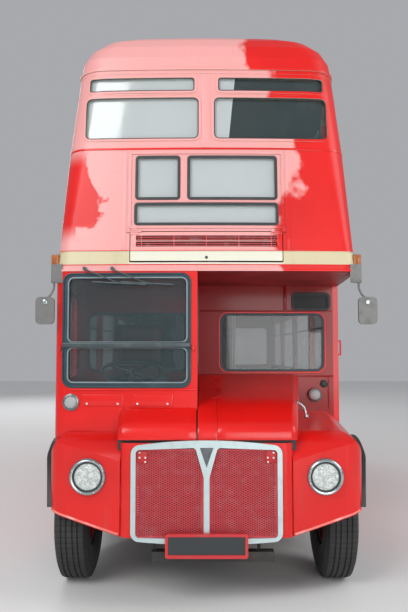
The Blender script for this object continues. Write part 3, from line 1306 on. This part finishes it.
# Floors, stairs, partition and rails
# The floors are ribbed hardwood and composition strips, grooved along the bus and worn pale where people
# walk. The walls inside are lined in dark red. The handrails are cased in white plastic, and the grab handle
# outside is painted.
slats = Finish("slatted_floor")
x = slats.parts(slats.place)[0]
groove = (x % 0.032) < 0.007
wear = slats.noise(1.6, 4.0).ramp(0.4, 0.7) * (1 - abs(x).ramp(0.15, 0.45))
grain = slats.noise(30.0, 3.0, (1, 0.06, 1))
colour = slats.mix(grain, (0.1, 0.06, 0.034), (0.06, 0.036, 0.022))
colour = slats.mix(wear * 0.7, colour, (0.24, 0.19, 0.14))
slats.set(Base_Color=slats.mix(groove * 0.85, colour, (0.012, 0.01, 0.008)), Roughness=0.55 + grain * 0.2)
slats.bump(1 - groove, 0.6, 0.003)
rail_casing = Finish("rail_casing")
grime = rail_casing.noise(14.0, 4.0).ramp(0.5, 0.75) * 0.35
casing = rail_casing.mix(grime, (0.8, 0.79, 0.74), (0.5, 0.47, 0.4))
outside = rail_casing.parts(rail_casing.place)[0] > 1.205
rail_casing.set(Base_Color=rail_casing.mix(outside, casing, coach_red), Roughness=0.3, Coat_Weight=0.2)
red_lining = worn_finish("red_lining", (0.13, 0.016, 0.014), (0.07, 0.012, 0.01), 0.5, 4.0, 0.4, coat=0.2)
seat_tube = worn_finish("seat_tube", (0.46, 0.47, 0.47), (0.24, 0.23, 0.22), 0.34, 16.0, 0.5, 0.8)
dress(slats, "platform", "saloon_floor")
dress(red_lining, "saloon_partition", "staircase")
dress(rail_casing, "handrails")
dress(seat_tube, "seat_frames")
seat_pitch, pole_x, pole_low, pole_high = 0.7, 0.302, 1.47, 2.35
poles = []
for k in range(4):
    for side in (1, -1):
        station = 2.385 + seat_pitch * k
        poles.append(tube([on_frame(side * pole_x, station, z) for z in (pole_low, pole_high)], 0.0145, 16))
saloon_poles = join(poles)
smooth(50)
add_piece(saloon_poles, "saloon_poles", rail_casing)

# Seats
# Every seat is a sprung squab and a stuffed back in dark red wool cloth, blown up as cloth and held down to
# its board, with a welt of hide along its seam. One seat is made and copied to its places.
cushion_cap, cushion_voxel, held_depth = 0.014, 0.018, 0.012
welt_radius, welt_corner = 0.0055, 0.03


def wool_finish(name, colour, dark):
    """Close wool weave, rubbed darker in patches."""
    wool = Finish(name)
    x, y, z = wool.parts(wool.place)
    weave = ((x + y * 0.5) * 900.0).maths("SINE") * ((z * 2.0 + y) * 900.0).maths("SINE")
    rubbed = wool.noise(4.0, 4.0).ramp(0.45, 0.7) * 0.6
    wool.set(Base_Color=wool.mix(rubbed, colour, dark), Roughness=0.9, Sheen_Weight=0.25)
    wool.bump(weave, 0.25, 0.0008)
    return wool


def cushion(size, middle, held, tilt=0.0):
    """A block swollen as cloth; what lies on its held face, a direction, stays where it is."""
    pad = block(size, (0, 0, 0), 0.02, 3)
    apply_modifier(pad, "REMESH", mode="VOXEL", voxel_size=cushion_voxel)
    rest = [vertex.co.copy() for vertex in pad.data.vertices]
    cloth = pad.modifiers.new("cloth", "CLOTH")
    cloth.settings.use_pressure = True
    cloth.settings.uniform_pressure_force = 4.0
    cloth.settings.effector_weights.gravity = 0.0
    for number in range(1, 21):
        bpy.context.scene.frame_set(number)
    activate(pad)
    bpy.ops.object.modifier_apply(modifier="cloth")
    bpy.context.scene.frame_set(1)
    face = max(place.dot(Vector(held)) for place in rest)
    for vertex, place in zip(pad.data.vertices, rest):
        move = vertex.co - place
        if place.dot(Vector(held)) > face - held_depth:
            move = Vector((0, 0, 0))
        if move.length > cushion_cap:
            move = move.normalized() * cushion_cap
        vertex.co = place + move
    pad.data.transform(Matrix.Translation(middle) @ Matrix.Rotation(tilt, 4, "X"))
    for polygon in pad.data.polygons:
        polygon.use_smooth = True
    return pad


def piping(size, middle, level, tilt=0.0):
    """Welted seam round a cushion, at a level or a depth from its middle."""
    lying = size[2] < size[1]
    half_x, half_v = size[0] / 2 - welt_corner, (size[1] if lying else size[2]) / 2 - welt_corner
    outline = []
    for corner, (sign_x, sign_v) in enumerate(((1, 1), (-1, 1), (-1, -1), (1, -1))):
        for k in range(5):
            turn = radians(90 * corner + 22.5 * k)
            across, along = welt_corner * cos(turn), welt_corner * sin(turn)
            outline.append((sign_x * half_x + across, sign_v * half_v + along))
    outline.append(outline[0])
    welt = tube([(x, v, level) if lying else (x, level, v) for x, v in outline], welt_radius)
    welt.data.transform(Matrix.Translation(middle) @ Matrix.Rotation(tilt, 4, "X"))
    return welt


wool = wool_finish("red_wool", (0.15, 0.016, 0.018), (0.085, 0.01, 0.012))
welt_hide = worn_finish("welt_hide", (0.085, 0.012, 0.012), (0.05, 0.01, 0.01), 0.45, 10.0)
squab_size, squab_middle = (0.835, 0.362, 0.074), (0, 0.186, 0.3915)
back_size, back_middle, back_tilt = (0.835, 0.058, 0.415), (0, 0.4105, 0.665), -atan2(0.0619, 0.43)
squab = cushion(squab_size, squab_middle, (0, 0, -1))
back = cushion(back_size, back_middle, (0, 1, 0), back_tilt)
welts = join([piping(squab_size, squab_middle, 0.026), piping(back_size, back_middle, -0.02, back_tilt)])
places = [(side * 0.72, 1.9 + seat_pitch * k, 0.62) for k in range(4) for side in (1, -1)]
places += [(side * 0.68, 1.25 + seat_pitch * k, 2.45) for k in range(8) for side in (1, -1)][:-1]
models = ((squab, "squab", wool), (back, "seat_back", wool), (welts, "seat_welt", welt_hide))
for number, place in enumerate(places, 1):
    for model, name, finish in models:
        seat = copy_of(model, Matrix.Translation(on_frame(*place)))
        add_piece(seat, "%s_%02d" % (name, number), finish)
        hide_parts("seat_cushions")
        name != "seat_welt"
for model in (squab, back, welts):
    bpy.data.objects.remove(model)
bench_size = (0.42, 1.085, 0.074)
for side, side_name in side_names:
    middle = on_frame(side * 0.915, rear_axle_station, 1.1265)
    bench = cushion(bench_size, middle, (0, 0, -1))
    add_piece(bench, "bench_" + side_name, wool)
    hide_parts("seat_cushions")
    add_piece(piping(bench_size, middle, 0.026), "bench_welt_" + side_name, welt_hide)

# Driver's seat
# A smaller squab and back in hide, in the same make, on the box in the cab.
for name, size, middle, held in (
    ("driver_squab", (0.46, 0.34, 0.085), on_frame(-0.6, 1.245, 1.606), (0, 0, -1)),
    ("driver_back", (0.43, 0.065, 0.36), on_frame(-0.6, 1.395, 1.85), (0, 1, 0)),
):
    stuffed = cushion(size, middle, held)
    add_piece(stuffed, name, welt_hide)
